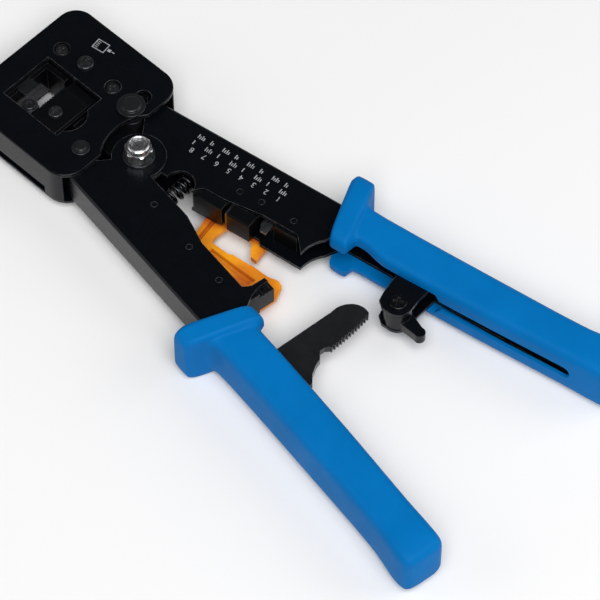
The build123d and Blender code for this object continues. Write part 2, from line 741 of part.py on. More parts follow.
# Orange cable guard: an open frame under the cutter, with a root block inside the left channel.
GUARD_TOP = -LEFT_IN
GUARD_BOTTOM = -6.9
GUARD_OUTLINE = [
    (5.0, 29.8), (-10.6, 22.7), (-14.6, 26.4), (-15.4, 44.2), (-13.5, 45.1), (-9.3, 46.6),
    (-9.0, 44.3), (-10.7, 42.0), (-12.7, 40.3), (-11.8, 34.3), (-9.8, 31.2), (-4.6, 31.8),
    (-2.8, 32.9), (-4.2, 39.3), (-5.1, 40.3), (-6.9, 46.4), (-7.3, 46.9), (-8.6, 53.2),
    (-10.3, 56.4), (-9.9, 58.6), (-6.0, 61.0), (3.0, 61.0), (3.0, 58.0), (5.0, 58.0),
]
with BuildPart() as cable_guard:
    with BuildSketch(handle(-1, GUARD_BOTTOM)):
        region(GUARD_OUTLINE, -1)
    extrude(amount=GUARD_TOP - GUARD_BOTTOM)
    fillet(
        [
            edge for edge in cable_guard.edges().filter_by(Axis.Z)
            if handle(-1, 0).to_local_coords(edge.center()).X > -2.9
        ],
        radius=0.45,
    )
    with BuildSketch(handle(-1, GUARD_TOP)):
        region([(4.4, 31.5), (11.0, 31.5), (11.0, 55.5), (4.4, 55.5)], -1)
        with Locations(*[at(-1, *p) for p in LEFT_PINS[1:]]):
            Circle(PEG_R, mode=Mode.SUBTRACT)
    extrude(amount=2.4)
with cable_guard:
    with BuildSketch(handle(-1, GUARD_TOP)):
        region([(0.5, 28.9), (-9.8, 25.3), (-10.6, 26.8), (0.2, 30.4)], -1)
        region([(-1.6, 34.5), (0.2, 34.5), (-2.2, 52.0), (-5.0, 52.0), (-3.6, 45.5)], -1)
    extrude(amount=-0.9, taper=30, mode=Mode.SUBTRACT)
save(cable_guard, "cable_guard")

# End stop: full height inside the left channel, with a lower ridged tongue that enters the right.
TONGUE_HALF = 3.45
with BuildPart() as end_stop:
    with BuildSketch(handle(-1, -LEFT_IN)):
        region([(1.2, 57.9), (10.0, 57.9), (10.0, 62.3), (1.2, 62.3)], -1)
    extrude(amount=2 * LEFT_IN)
    with BuildSketch(handle(-1, -TONGUE_HALF)):
        region([(-4.2, 57.9), (1.2, 57.9), (1.2, 62.3), (-4.2, 62.3)], -1)
    extrude(amount=2 * TONGUE_HALF - 0.4)
    with BuildSketch(handle(-1, TONGUE_HALF - 0.4)):
        for i in range(4):
            ridge = -4.1 + 1.35 * i
            region([(ridge, 57.9), (ridge + 0.8, 57.9), (ridge + 0.8, 62.3), (ridge, 62.3)], -1)
    extrude(amount=0.4)
save(end_stop, "end_stop")


def on_arc(radius, angle):
    """Point at an angle from the left handle's axis, towards the right handle."""
    return (-radius * sin(radians(angle)), radius * cos(radians(angle)))


tooth_step = (TOOTH_FIRST - TOOTH_LAST) / TEETH
teeth = [on_arc(TOOTH_ROOT_R, TOOTH_FIRST)]
for tooth in range(TEETH):
    crest = TOOTH_FIRST - (tooth + 0.8) * tooth_step
    teeth += [
        on_arc(TOOTH_TIP_R, crest),
        on_arc(TOOTH_TIP_R, crest - 0.12 * tooth_step),
        on_arc(TOOTH_ROOT_R, crest - 0.2 * tooth_step),
    ]

NOTCH_R = 87.1
with BuildPart() as ratchet_arm:
    with BuildSketch(handle(-1, -ARM_HALF)):
        with BuildLine() as arm_border:
            Spline(
                at(-1, -13.6, 78.2), at(-1, -17.6, 78.3), at(-1, -20.9, 80.4),
                at(-1, *teeth[0]),
            )
            Polyline(*[at(-1, *p) for p in teeth])
            Polyline(
                at(-1, *teeth[-1]), at(-1, *on_arc(NOTCH_R, TOOTH_LAST - 0.9)),
                at(-1, *on_arc(NOTCH_R, 1.6)), at(-1, -1.3, 88.4), at(-1, -0.6, 89.4),
                at(-1, 1.6, 90.3), at(-1, 4.4, 92.2), at(-1, 6.4, 94.8),
                at(-1, 17.5, 95.2), at(-1, 18.5, 79.4), at(-1, 5.8, 78.7),
                at(-1, -13.6, 78.2),
            )
        make_face(arm_border.edges())
        with Locations(*[at(-1, *p) for p in ARM_RIVETS]):
            Circle(2.0, mode=Mode.SUBTRACT)
    extrude(amount=2 * ARM_HALF)
save(ratchet_arm, "ratchet_arm")

with BuildPart() as arm_spacers:
    for low, high in ((-LEFT_IN, -ARM_HALF), (ARM_HALF, LEFT_IN)):
        with BuildSketch(handle(-1, low)):
            with Locations(*[at(-1, *p) for p in ARM_RIVETS]):
                Circle(3.4)
                Circle(2.0, mode=Mode.SUBTRACT)
        extrude(amount=high - low)
save(arm_spacers, "arm_spacers")

with BuildPart() as arm_rivets:
    with BuildSketch(handle(-1, -LEFT_OUT)):
        with Locations(*[at(-1, *p) for p in ARM_RIVETS]):
            Circle(2.0)
    extrude(amount=2 * LEFT_OUT)
save(arm_rivets, "arm_rivets")

# ======================================================================================
# Right handle fittings
# ======================================================================================

def blade_block(low_down, high_down, lip_out, inner_out, step):
    """Block between the right flanges, with a lip that stands proud of their open edge."""
    with BuildSketch(handle(1, -RIGHT_IN)) as body:
        region([
            (inner_out, low_down), (10.5, low_down), (10.5, high_down), (inner_out, high_down)
        ], 1)
        for place in BLOCK_PINS:
            if low_down - 1.2 < place[1] < high_down + 1.2:
                with Locations(at(1, *place)):
                    Circle(PEG_R, mode=Mode.SUBTRACT)
    extrude(body.sketch, amount=2 * RIGHT_IN)
    with BuildSketch(handle(1, RIGHT_IN)) as lip:
        region([
            (inner_out, low_down + step), (lip_out, low_down + step),
            (lip_out, high_down), (inner_out, high_down),
        ], 1)
    extrude(lip.sketch, amount=SHEET - 0.1)


with BuildPart() as front_blade_block:
    blade_block(20.6, 31.6, 1.9, -1.3, 2.0)
    with BuildSketch(handle(1, -RIGHT_OUT)):
        region([(-2.0, 20.0), (-0.6, 20.0), (-2.0, 22.4)], 1)
    extrude(amount=2 * RIGHT_OUT, mode=Mode.SUBTRACT)
save(front_blade_block, "front_blade_block")

with BuildPart() as middle_blade_block:
    blade_block(33.7, 42.0, 2.7, -1.7, 0.0)
    lip = middle_blade_block.faces().sort_by(Axis.Z)[-1]
    chamfer(lip.edges().sort_by(Axis.X)[0], length=0.4)
save(middle_blade_block, "middle_blade_block")

with BuildPart() as rear_blade_block:
    with BuildSketch(handle(1, -RIGHT_IN)):
        region([(3.4, 47.8), (10.5, 47.8), (10.5, 56.0), (3.4, 56.0)], 1)
        with Locations(at(1, *BLOCK_PINS[2])):
            Circle(PEG_R, mode=Mode.SUBTRACT)
    extrude(amount=2 * RIGHT_IN)
save(rear_blade_block, "rear_blade_block")

with BuildPart() as stripper_blade:
    with BuildSketch(handle(1, -2.8)):
        region([(-0.6, 32.3), (5.9, 32.3), (5.9, 33.0), (-0.6, 33.0)], 1)
    extrude(amount=5.6)
save(stripper_blade, "stripper_blade")

with BuildPart() as cutter_blade:
    with BuildSketch(handle(1, 1.6)):
        region([(0.3, 44.6), (2.6, 43.4), (9.8, 43.4), (9.8, 46.9), (0.3, 46.9)], 1)
    extrude(amount=0.9)
    with BuildSketch(handle(1, -RIGHT_IN)):
        region([(4.4, 43.4), (9.8, 43.4), (9.8, 46.9), (4.4, 46.9)], 1)
    extrude(amount=1.6 + RIGHT_IN)
save(cutter_blade, "cutter_blade")

with BuildPart() as block_pins:
    channel_pins(1, BLOCK_PINS, -RIGHT_OUT, RIGHT_OUT)
    fillet(block_pins.faces().group_by(Axis.Z)[-1].edges(), radius=0.3)
save(block_pins, "block_pins")

# Pawl on its pin between the right channel's ears.
with BuildPart() as pawl_pin:
    with BuildSketch(handle(1, -RIGHT_OUT)):
        with Locations(at(1, PAWL_OUT, PAWL_DOWN)):
            Circle(PAWL_PIN_R)
    extrude(amount=2 * RIGHT_OUT)
    for seat, amount in ((RIGHT_OUT, 0.9), (-RIGHT_OUT, -0.9)):
        with BuildSketch(handle(1, seat)):
            with Locations(at(1, PAWL_OUT, PAWL_DOWN)):
                Circle(2.8)
        extrude(amount=amount)
    fillet(pawl_pin.faces().sort_by(Axis.Z)[-1].edges(), radius=0.6)
    fillet(pawl_pin.faces().sort_by(Axis.Z)[0].edges(), radius=0.6)
    with BuildSketch(handle(1, RIGHT_OUT + 0.4)):
        with Locations(at(1, PAWL_OUT, PAWL_DOWN)):
            Rectangle(3.0, 0.7, rotation=20)
            Rectangle(0.7, 3.0, rotation=20)
    extrude(amount=1.0, mode=Mode.SUBTRACT)
save(pawl_pin, "pawl_pin")

PAWL_HALF = RIGHT_IN - 0.3
nose_angle = radians(NOSE_TILT)
nose_tip = (PAWL_OUT + NOSE_REACH * sin(nose_angle), PAWL_DOWN - NOSE_REACH * cos(nose_angle))
nose_side = 3.4
TAIL_DOWN = 103.8
with BuildPart() as pawl:
    with BuildSketch(handle(1, -PAWL_HALF)):
        with Locations(at(1, PAWL_OUT, PAWL_DOWN)):
            Circle(PAWL_R)
        region([
            (PAWL_OUT - nose_side * cos(nose_angle), PAWL_DOWN - nose_side * sin(nose_angle)),
            nose_tip,
            (PAWL_OUT + nose_side * cos(nose_angle), PAWL_DOWN + nose_side * sin(nose_angle)),
        ], 1)
    extrude(amount=2 * PAWL_HALF)
    with BuildSketch(handle(1, -PAWL_HALF)):
        region([
            (PAWL_OUT - 3.0, PAWL_DOWN + 2.0), (-3.2, TAIL_DOWN), (0.2, TAIL_DOWN),
            (PAWL_OUT + 2.4, PAWL_DOWN + 2.8),
        ], 1)
        with Locations(at(1, -1.5, TAIL_DOWN)):
            Circle(1.8)
    extrude(amount=PAWL_HALF + 0.2)
    with BuildSketch(handle(1, -PAWL_HALF)):
        with Locations(at(1, PAWL_OUT, PAWL_DOWN)):
            Circle(PAWL_PIN_R + RUNNING)
    extrude(amount=2 * PAWL_HALF, mode=Mode.SUBTRACT)
    with BuildSketch(handle(1, -PAWL_HALF)):
        with Locations(at(1, PAWL_OUT, PAWL_DOWN)):
            Circle(3.1)
            Circle(PAWL_PIN_R + RUNNING, mode=Mode.SUBTRACT)
    extrude(amount=1.9, mode=Mode.SUBTRACT)
save(pawl, "pawl")

with BuildPart() as pawl_spring:
    with BuildSketch(handle(1, -PAWL_HALF + 0.1)):
        with Locations(at(1, PAWL_OUT, PAWL_DOWN)):
            Circle(2.9)
            Circle(2.2, mode=Mode.SUBTRACT)
    extrude(amount=1.6)
save(pawl_spring, "pawl_spring")

# ======================================================================================
# Grips
# ======================================================================================
# Stations down the grip: outer edge (out, down), inner edge (out, down), half-thickness, corner.
GRIP_STATIONS = [
    ((28.6, 59.0), (6.4, 65.2), 9.5, 3.0),
    ((30.7, 60.4), (4.7, 66.8), 10.2, 3.2),
    ((30.7, 63.6), (4.6, 69.6), 10.2, 3.2),
    ((29.6, 65.6), (5.9, 71.3), 9.8, 3.2),
    ((25.8, 68.4), (8.8, 73.4), 8.8, 3.2),
    ((24.0, 71.0), (9.6, 75.0), 8.5, 3.2),
    ((23.4, 75.2), (9.5, 78.0), 8.5, 3.2),
    ((23.4, 90.0), (9.2, 90.6), 8.5, 3.2),
    ((23.7, 120.0), (9.9, 120.0), 8.6, 3.2),
    ((24.2, 146.0), (10.9, 146.0), 8.8, 3.2),
    ((25.6, 157.0), (11.0, 157.0), 9.0, 3.2),
    ((25.4, 161.6), (11.3, 161.6), 8.5, 3.0),
    ((23.4, 163.6), (13.2, 163.6), 6.8, 2.6),
]


def station_plane(side, outer, inner):
    """Plane across the grip through the two edge points, its X axis towards the outer one."""
    tilt = HALF_OPEN + atan_of(inner[1] - outer[1], outer[0] - inner[0])
    out, down = (outer[0] + inner[0]) / 2, (outer[1] + inner[1]) / 2
    return Plane(
        origin=(
            PIVOT_X + side * (out * cos(HALF_OPEN) + down * sin(HALF_OPEN)),
            PIVOT_Y + out * sin(HALF_OPEN) - down * cos(HALF_OPEN),
            MID_Z,
        ),
        x_dir=(side * cos(tilt), sin(tilt), 0),
        z_dir=(side * sin(tilt), -cos(tilt), 0),
    )


def atan_of(rise, run):
    return radians(Vector(run, rise).get_signed_angle(Vector(1, 0), Vector(0, 0, -1)))


GRIP_SLOT_HALF = 3.9
for side, name, half in ((-1, "left_grip", LEFT_OUT), (1, "right_grip", RIGHT_OUT)):
    with BuildPart() as grip:
        for outer, inner, thick, corner in GRIP_STATIONS:
            width = hypot(outer[0] - inner[0], outer[1] - inner[1])
            with BuildSketch(station_plane(side, outer, inner)):
                RectangleRounded(width, 2 * thick, corner)
        loft(ruled=True)
        with BuildSketch(handle(side, -half)):
            region([
                (CHANNEL_EDGE, 50.0), (SPINE_OUT, 50.0), (SPINE_OUT, CHANNEL_END),
                (CHANNEL_EDGE, CHANNEL_END),
            ], side)
        extrude(amount=2 * half, mode=Mode.SUBTRACT)
        with BuildSketch(handle(side, -half)):
            region([(-2.0, 50.0), (13.4, 50.0), (13.4, 68.0), (-2.0, 68.0)], side)
        extrude(amount=2 * half, mode=Mode.SUBTRACT)
        with BuildSketch(handle(side, -GRIP_SLOT_HALF)):
            region([(0, 50.0), (13.4, 50.0), (13.4, 148.5), (0, 148.5)], side)
        extrude(amount=2 * GRIP_SLOT_HALF, mode=Mode.SUBTRACT)
        if side > 0:
            with BuildSketch(handle(1, -RIGHT_OUT - 0.4)):
                region([(-2.0, 87.6), (13.4, 87.6), (13.4, 107.5), (-2.0, 107.5)], 1)
            extrude(amount=2 * RIGHT_OUT + 0.8, mode=Mode.SUBTRACT)
            with BuildSketch(handle(1, -1.8)):
                region(ARM_POCKET, 1)
            extrude(amount=3.6, mode=Mode.SUBTRACT)
    save(grip, name)
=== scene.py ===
"""Look of the ratcheting crimping tool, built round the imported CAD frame. Metres, CAD axes."""

import json
from math import atan2, cos, pi, radians, sin, sqrt, tau

import bpy
from mathutils import Matrix, Vector


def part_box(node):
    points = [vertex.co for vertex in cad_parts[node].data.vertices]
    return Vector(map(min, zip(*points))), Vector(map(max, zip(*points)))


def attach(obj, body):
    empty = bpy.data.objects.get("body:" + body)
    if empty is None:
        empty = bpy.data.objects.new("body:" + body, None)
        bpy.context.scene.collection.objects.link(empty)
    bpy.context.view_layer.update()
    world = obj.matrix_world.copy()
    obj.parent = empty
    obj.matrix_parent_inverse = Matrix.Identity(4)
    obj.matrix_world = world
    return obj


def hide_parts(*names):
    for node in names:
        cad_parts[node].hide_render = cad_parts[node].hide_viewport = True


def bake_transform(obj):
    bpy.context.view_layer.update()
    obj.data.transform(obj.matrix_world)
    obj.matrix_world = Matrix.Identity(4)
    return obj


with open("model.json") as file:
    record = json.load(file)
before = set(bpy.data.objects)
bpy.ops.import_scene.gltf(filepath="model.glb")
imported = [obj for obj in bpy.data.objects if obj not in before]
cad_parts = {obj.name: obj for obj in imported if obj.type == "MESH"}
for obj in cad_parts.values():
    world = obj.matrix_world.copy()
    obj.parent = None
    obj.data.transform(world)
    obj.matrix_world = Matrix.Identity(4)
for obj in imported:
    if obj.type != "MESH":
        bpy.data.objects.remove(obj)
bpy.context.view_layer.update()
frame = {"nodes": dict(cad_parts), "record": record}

MM = 0.001


def middle(node):
    low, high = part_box(node)
    return (low + high) / 2


# ---- places read from the frame ----
PIVOT = middle("pivot_bolt")
MID_Z = middle("pivot_rivet").z
RIGHT_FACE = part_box("right_channel")[1].z
HEAD_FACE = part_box("head_front_plate")[1].z

HALF_OPEN = radians(8.903)       # each handle's angle from the tool's long axis, at rest


def head(x, y, z=0.0):
    """Point of the head, in millimetres from the main pivot and the tool's mid-plane."""
    return Vector((PIVOT.x + x * MM, PIVOT.y + y * MM, MID_Z + z * MM))


def hand(side, out, down, z=0.0):
    """Point of a handle: millimetres out from its axis, down it from the pivot, and up."""
    x = side * (out * cos(HALF_OPEN) + down * sin(HALF_OPEN))
    y = out * sin(HALF_OPEN) - down * cos(HALF_OPEN)
    return head(x, y, z)


# ======================================================================================
# Materials
# ======================================================================================
GLOSS_FINENESS = 3.1             # the gloss varies this much finer than the colour
RELIEF_STRENGTH = 0.5
EDGE_RAYS = 4
EDGE_TURN = (0.80, 0.985)        # cosine of a rounded normal's turn: fully worn and highlighted, and neither
WEAR_AND_HIGHLIGHT_GRAIN = 420.0               # scale of the noise that breaks the worn and highlighted edges up
WEAR_AND_HIGHLIGHT_COVER = (0.15, 0.85)        # least and most of the wear and painted highlight that shows
CORNER_RAYS = 8
CORNER_REACH = 3 * MM            # how near another face has to be for the painted shade
CORNER_OPEN = (0.35, 0.95)       # openness of a corner: fully in painted shade, and not at all


def nodes_of(material):
    return material.node_tree.nodes, material.node_tree.links


def noise(material, scale, detail=3.0, stretch=None):
    """Noise over the object's own coordinates, which are metres in the CAD frame."""
    nodes, links = nodes_of(material)
    coordinates = nodes.new("ShaderNodeTexCoord")
    texture = nodes.new("ShaderNodeTexNoise")
    texture.inputs["Scale"].default_value = scale
    texture.inputs["Detail"].default_value = detail
    source = coordinates.outputs["Object"]
    if stretch:
        mapping = nodes.new("ShaderNodeMapping")
        mapping.inputs["Scale"].default_value = stretch
        links.new(source, mapping.inputs["Vector"])
        source = mapping.outputs["Vector"]
    links.new(source, texture.inputs["Vector"])
    return texture.outputs["Fac"]


def spread(material, value, low, high, from_low=0.35, from_high=0.65):
    """Map a value onto a range. The usual start and end suit a noise."""
    nodes, links = nodes_of(material)
    ramp = nodes.new("ShaderNodeMapRange")
    ramp.inputs["From Min"].default_value = from_low
    ramp.inputs["From Max"].default_value = from_high
    ramp.inputs["To Min"].default_value = low
    ramp.inputs["To Max"].default_value = high
    links.new(value, ramp.inputs["Value"])
    return ramp.outputs["Result"]


def mix_colour(material, factor, first, second):
    """Mix two colours, each a tuple or a socket."""
    nodes, links = nodes_of(material)
    mix = nodes.new("ShaderNodeMix")
    mix.data_type = "RGBA"
    links.new(factor, mix.inputs["Factor"])
    for socket, colour in (("A", first), ("B", second)):
        slot = [i for i in mix.inputs if i.name == socket and i.type == "RGBA"][0]
        if isinstance(colour, tuple):
            slot.default_value = (*colour, 1.0)
        else:
            links.new(colour, slot)
    return [o for o in mix.outputs if o.type == "RGBA"][0]


def edge_wear_and_highlight(material, radius):
    """Patchy wear on edges that is also a painted highlight, none on flat faces, from how far a
    rounded normal turns.
    """
    nodes, links = nodes_of(material)
    rounded = nodes.new("ShaderNodeBevel")
    rounded.samples = EDGE_RAYS
    rounded.inputs["Radius"].default_value = radius
    geometry = nodes.new("ShaderNodeNewGeometry")
    dot = nodes.new("ShaderNodeVectorMath")
    dot.operation = "DOT_PRODUCT"
    links.new(rounded.outputs["Normal"], dot.inputs[0])
    links.new(geometry.outputs["Normal"], dot.inputs[1])
    patchy = nodes.new("ShaderNodeMath")
    patchy.operation = "MULTIPLY"
    links.new(spread(material, dot.outputs["Value"], 1.0, 0.0, *EDGE_TURN), patchy.inputs[0])
    links.new(spread(material, noise(material, WEAR_AND_HIGHLIGHT_GRAIN), *WEAR_AND_HIGHLIGHT_COVER), patchy.inputs[1])
    return patchy.outputs["Value"]


def painted_shade_mask(material):
    """Mask for painted shade: 1 deep in corners and recesses, 0 where nothing is near."""
    nodes, _ = nodes_of(material)
    nearby = nodes.new("ShaderNodeAmbientOcclusion")
    nearby.samples = CORNER_RAYS
    nearby.inputs["Distance"].default_value = CORNER_REACH
    return spread(material, nearby.outputs["AO"], 1.0, 0.0, *CORNER_OPEN)


def surface(
    name, colour, roughness, metallic=0.0, specular=0.5, ior=1.5, tint=0.12, tone=None,
    rough_spread=0.08, mottle=160.0, grain=1800.0, bump=0.00001, stretch=None,
    wear_and_highlight=None, wear_and_highlight_colour=(0.2, 0.2, 0.21), painted_shade=None,
):
    """A finish with mottled colour, uneven gloss, fine relief and, if wanted, worn edges with a
    painted highlight and corners with painted shade.

    tint is how far the mottling strays from the colour, and tone is a second colour for it.
    mottle and grain are noise scales, and the edge radius, given after stretch, is that of the
    worn edges, which also carry a painted highlight.
    The last argument is a deeper colour painted into corners and recesses as shade.
    """
    material = bpy.data.materials.new(name)
    material.use_nodes = True
    nodes, links = nodes_of(material)
    shader = nodes["Principled BSDF"]
    shader.inputs["Metallic"].default_value = metallic
    shader.inputs["Specular IOR Level"].default_value = specular
    shader.inputs["IOR"].default_value = ior
    dark = tone or tuple(c * (1 - tint) for c in colour)
    light = tuple(min(1.0, c * (1 + tint)) for c in colour)
    mottled = mix_colour(material, spread(material, noise(material, mottle), 0, 1), dark, light)
    rough = spread(
        material, noise(material, mottle * GLOSS_FINENESS, 4.0, stretch),
        roughness - rough_spread, roughness + rough_spread,
    )
    # Worn edges, lightened also as a painted highlight.
    if wear_and_highlight:
        mottled = mix_colour(material, edge_wear_and_highlight(material, wear_and_highlight), mottled, wear_and_highlight_colour)
    # Painted shade: a deeper colour where other faces are near.
    if painted_shade:
        mottled = mix_colour(material, painted_shade_mask(material), mottled, painted_shade)
    links.new(mottled, shader.inputs["Base Color"])
    links.new(rough, shader.inputs["Roughness"])
    relief = nodes.new("ShaderNodeBump")
    relief.inputs["Strength"].default_value = RELIEF_STRENGTH
    relief.inputs["Distance"].default_value = bump
    links.new(noise(material, grain, 5.0, stretch), relief.inputs["Height"])
    links.new(relief.outputs["Normal"], shader.inputs["Normal"])
    return material


# By the record's material slots.
FINISHES = {
    # Its light edge colour is partly wear and partly a painted highlight.
    "black_paint": surface(
        "black_paint", (0.0014, 0.0022, 0.0036), 0.28, ior=1.31, tint=0.1, rough_spread=0.018,
        mottle=120.0, grain=1500.0, bump=0.000008, wear_and_highlight=0.0003, wear_and_highlight_colour=(0.19, 0.195, 0.205),
    ),
    # Its light edge colour is partly wear and partly a painted highlight.
    "black_block": surface(
        "black_block", (0.0014, 0.0018, 0.0026), 0.30, specular=0.24, tint=0.1, rough_spread=0.02,
        grain=2200.0, wear_and_highlight=0.00022, wear_and_highlight_colour=(0.15, 0.153, 0.16),
    ),
    # Its light edge colour is partly wear and partly painted glints on the screws.
    "dark_steel": surface(
        "dark_steel", (0.031, 0.033, 0.037), 0.28, metallic=0.7, rough_spread=0.03,
        bump=0.000008, wear_and_highlight=0.0002, wear_and_highlight_colour=(0.42, 0.42, 0.43),
    ),
    "zinc": surface(
        "zinc", (0.53, 0.535, 0.545), 0.30, metallic=1.0, tint=0.10, mottle=520.0, bump=0.000003,
    ),
    "bright_steel": surface(
        "bright_steel", (0.22, 0.225, 0.235), 0.33, metallic=1.0, tint=0.15, bump=0.000008,
        stretch=(1.0, 9.0, 1.0),
    ),
    "spring_steel": surface(
        "spring_steel", (0.04, 0.041, 0.044), 0.30, metallic=1.0, tint=0.2, bump=0.000008,
    ),
    "blue_plastic": surface(
        "grip_blue", (0.0001, 0.144, 0.425), 0.52, specular=0.4, ior=1.17, tint=0.045,
        rough_spread=0.04, mottle=55.0, grain=2600.0, bump=0.00002,
    ),
    "orange_plastic": surface(
        "orange_plastic", (0.93, 0.36, 0.010), 0.42, specular=0.4, tint=0.06,
        tone=(0.66, 0.15, 0.012), rough_spread=0.05, mottle=75.0, grain=2000.0, bump=0.000015,
        # Painted shade: a deep brown-orange in corners and recesses.
        painted_shade=(0.36, 0.055, 0.005),
    ),
}
PRINT = surface("white_print", (0.30, 0.31, 0.32), 0.6, tint=0.25, mottle=900.0, bump=0.000002)


# ======================================================================================
# Meshes
# ======================================================================================
WIRE_SIDES = 12


def piece(name, points, faces, material, body, smooth=True):
    """A mesh piece, which rides on a CAD body if one is named."""
    mesh = bpy.data.meshes.new(name)
    mesh.from_pydata([tuple(p) for p in points], [], faces)
    mesh.validate()
    mesh.materials.append(material)
    for polygon in mesh.polygons:
        polygon.use_smooth = smooth
    thing = bpy.data.objects.new(name, mesh)
    bpy.context.scene.collection.objects.link(thing)
    if body:
        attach(thing, body)
    return thing


def skin(rings, closed=False):
    """Points and faces of a grid through equal rings, closed end to end or capped."""
    count = len(rings[0])
    points = [p for ring in rings for p in ring]
    faces = []
    spans = len(rings) if closed else len(rings) - 1
    for i in range(spans):
        first, second = i * count, (i + 1) % len(rings) * count
        for j in range(count):
            k = (j + 1) % count
            faces.append((first + j, first + k, second + k, second + j))
    if not closed:
        faces.append(tuple(reversed(range(count))))
        faces.append(tuple(range(len(points) - count, len(points))))
    return points, faces


def wire(path, radius):
    """Rings of a round wire along a list of points."""
    corners = [tau * s / WIRE_SIDES for s in range(WIRE_SIDES)]
    rings = []
    for i, point in enumerate(path):
        ahead = path[min(i + 1, len(path) - 1)] - path[max(i - 1, 0)]
        turn = ahead.to_track_quat("Z", "Y").to_matrix()
        rings.append([
            point + turn @ Vector((radius * cos(a), radius * sin(a), 0)) for a in corners
        ])
    return rings


def smooth_step(value, start, stop):
    t = max(0.0, min(1.0, (value - start) / (stop - start)))
    return t * t * (3 - 2 * t)


def follow(table, column, at):
    """Smooth curve through a column of a table whose first column is the position."""
    last = len(table) - 1
    i = max(0, min(last - 1, sum(1 for row in table if row[0] <= at) - 1))
    before, start, stop, after = (table[max(0, min(last, k))] for k in (i - 1, i, i + 1, i + 2))
    t = (at - start[0]) / (stop[0] - start[0])
    width = stop[0] - start[0]
    slope_in = (stop[column] - before[column]) / (stop[0] - before[0]) if i else (
        (stop[column] - start[column]) / width
    )
    slope_out = (after[column] - start[column]) / (after[0] - start[0])
    return (
        (2 * t ** 3 - 3 * t ** 2 + 1) * start[column]
        + (t ** 3 - 2 * t ** 2 + t) * width * slope_in
        + (-2 * t ** 3 + 3 * t ** 2) * stop[column]
        + (t ** 3 - t ** 2) * width * slope_out
    )


# ======================================================================================
# Grips, in millimetres
# ======================================================================================
# Position along the grip, outer edge (out, down), inner edge (out, down), half-thickness.
GRIP_LINE = [
    (0.0, 29.2, 59.0, 7.6, 65.2, 9.3),
    (0.7, 30.8, 59.6, 6.6, 65.8, 9.95),
    (1.6, 31.3, 60.5, 6.2, 66.8, 10.18),
    (6.0, 31.3, 65.0, 6.1, 70.7, 10.18),
    (6.7, 30.9, 65.8, 6.4, 71.4, 9.95),
    (7.4, 28.6, 66.7, 7.6, 72.0, 9.15),
    (8.1, 25.4, 67.6, 8.7, 72.6, 8.60),
    (9.3, 24.0, 69.2, 9.0, 73.7, 8.5),
    (13.0, 23.5, 73.2, 9.1, 76.4, 8.5),
    (19.0, 23.4, 79.0, 9.1, 80.6, 8.5),
    (31.0, 23.4, 90.0, 9.2, 90.6, 8.5),
    (61.0, 23.7, 120.0, 9.9, 120.0, 8.6),
    (87.0, 24.2, 146.0, 10.9, 146.0, 8.8),
    (98.0, 25.5, 157.0, 11.1, 157.0, 9.0),
    (102.0, 25.4, 161.2, 11.4, 161.2, 8.6),
    (103.4, 24.6, 162.6, 12.2, 162.6, 7.8),
    (104.2, 22.8, 163.4, 13.8, 163.4, 6.4),
]
GRIP_LENGTH = GRIP_LINE[-1][0]
GRIP_STOPS = 260                 # sections along the grip
FLARE_HALF = max(row[5] for row in GRIP_LINE)    # keeps the curve from rising past the flare
ROUNDNESS = 6.0                  # power of the section's superellipse
SECTION_STEPS = 72

LEFT_SLOT = 4.0                  # half-width of the left grip's slot
RIGHT_SLOT, RIGHT_NECK = 4.75, 2.4    # the same on the right, beside the pawl and past it
NECK_START, NECK_TAPER = 42.5, 2.0
SLOT_END = 89.4
SLOT_FADE = 0.5                  # length over which the slot's depth runs out
SLOT_LEAST = 0.15
SLOT_DEEP = 18.6                 # how far out from the handle's axis the slot reaches
ARM_ROOM_DEEP = 22.75            # the same where the tip of the ratchet arm also has to fit
SIDE_WALL = 2.0                  # least wall between the slot and the grip's faces
LIP_DEEP = 1.2                   # thickness of the grip's wall beside the slot
LIP_STEP = 0.1                   # slant of that wall's inner face
HOLLOW_HALF = 4.78               # half-width of the room for the channel, behind that wall

# Past the flare, the upper half of the right grip's inner edge is set back from the lower half.
SET_BACK = 1.9
SET_BACK_RISE = (6.6, 9.0)
SET_BACK_FALL = (11.0, 24.0)
SET_BACK_BLEND = 2.5             # height above the mid-plane over which it grows


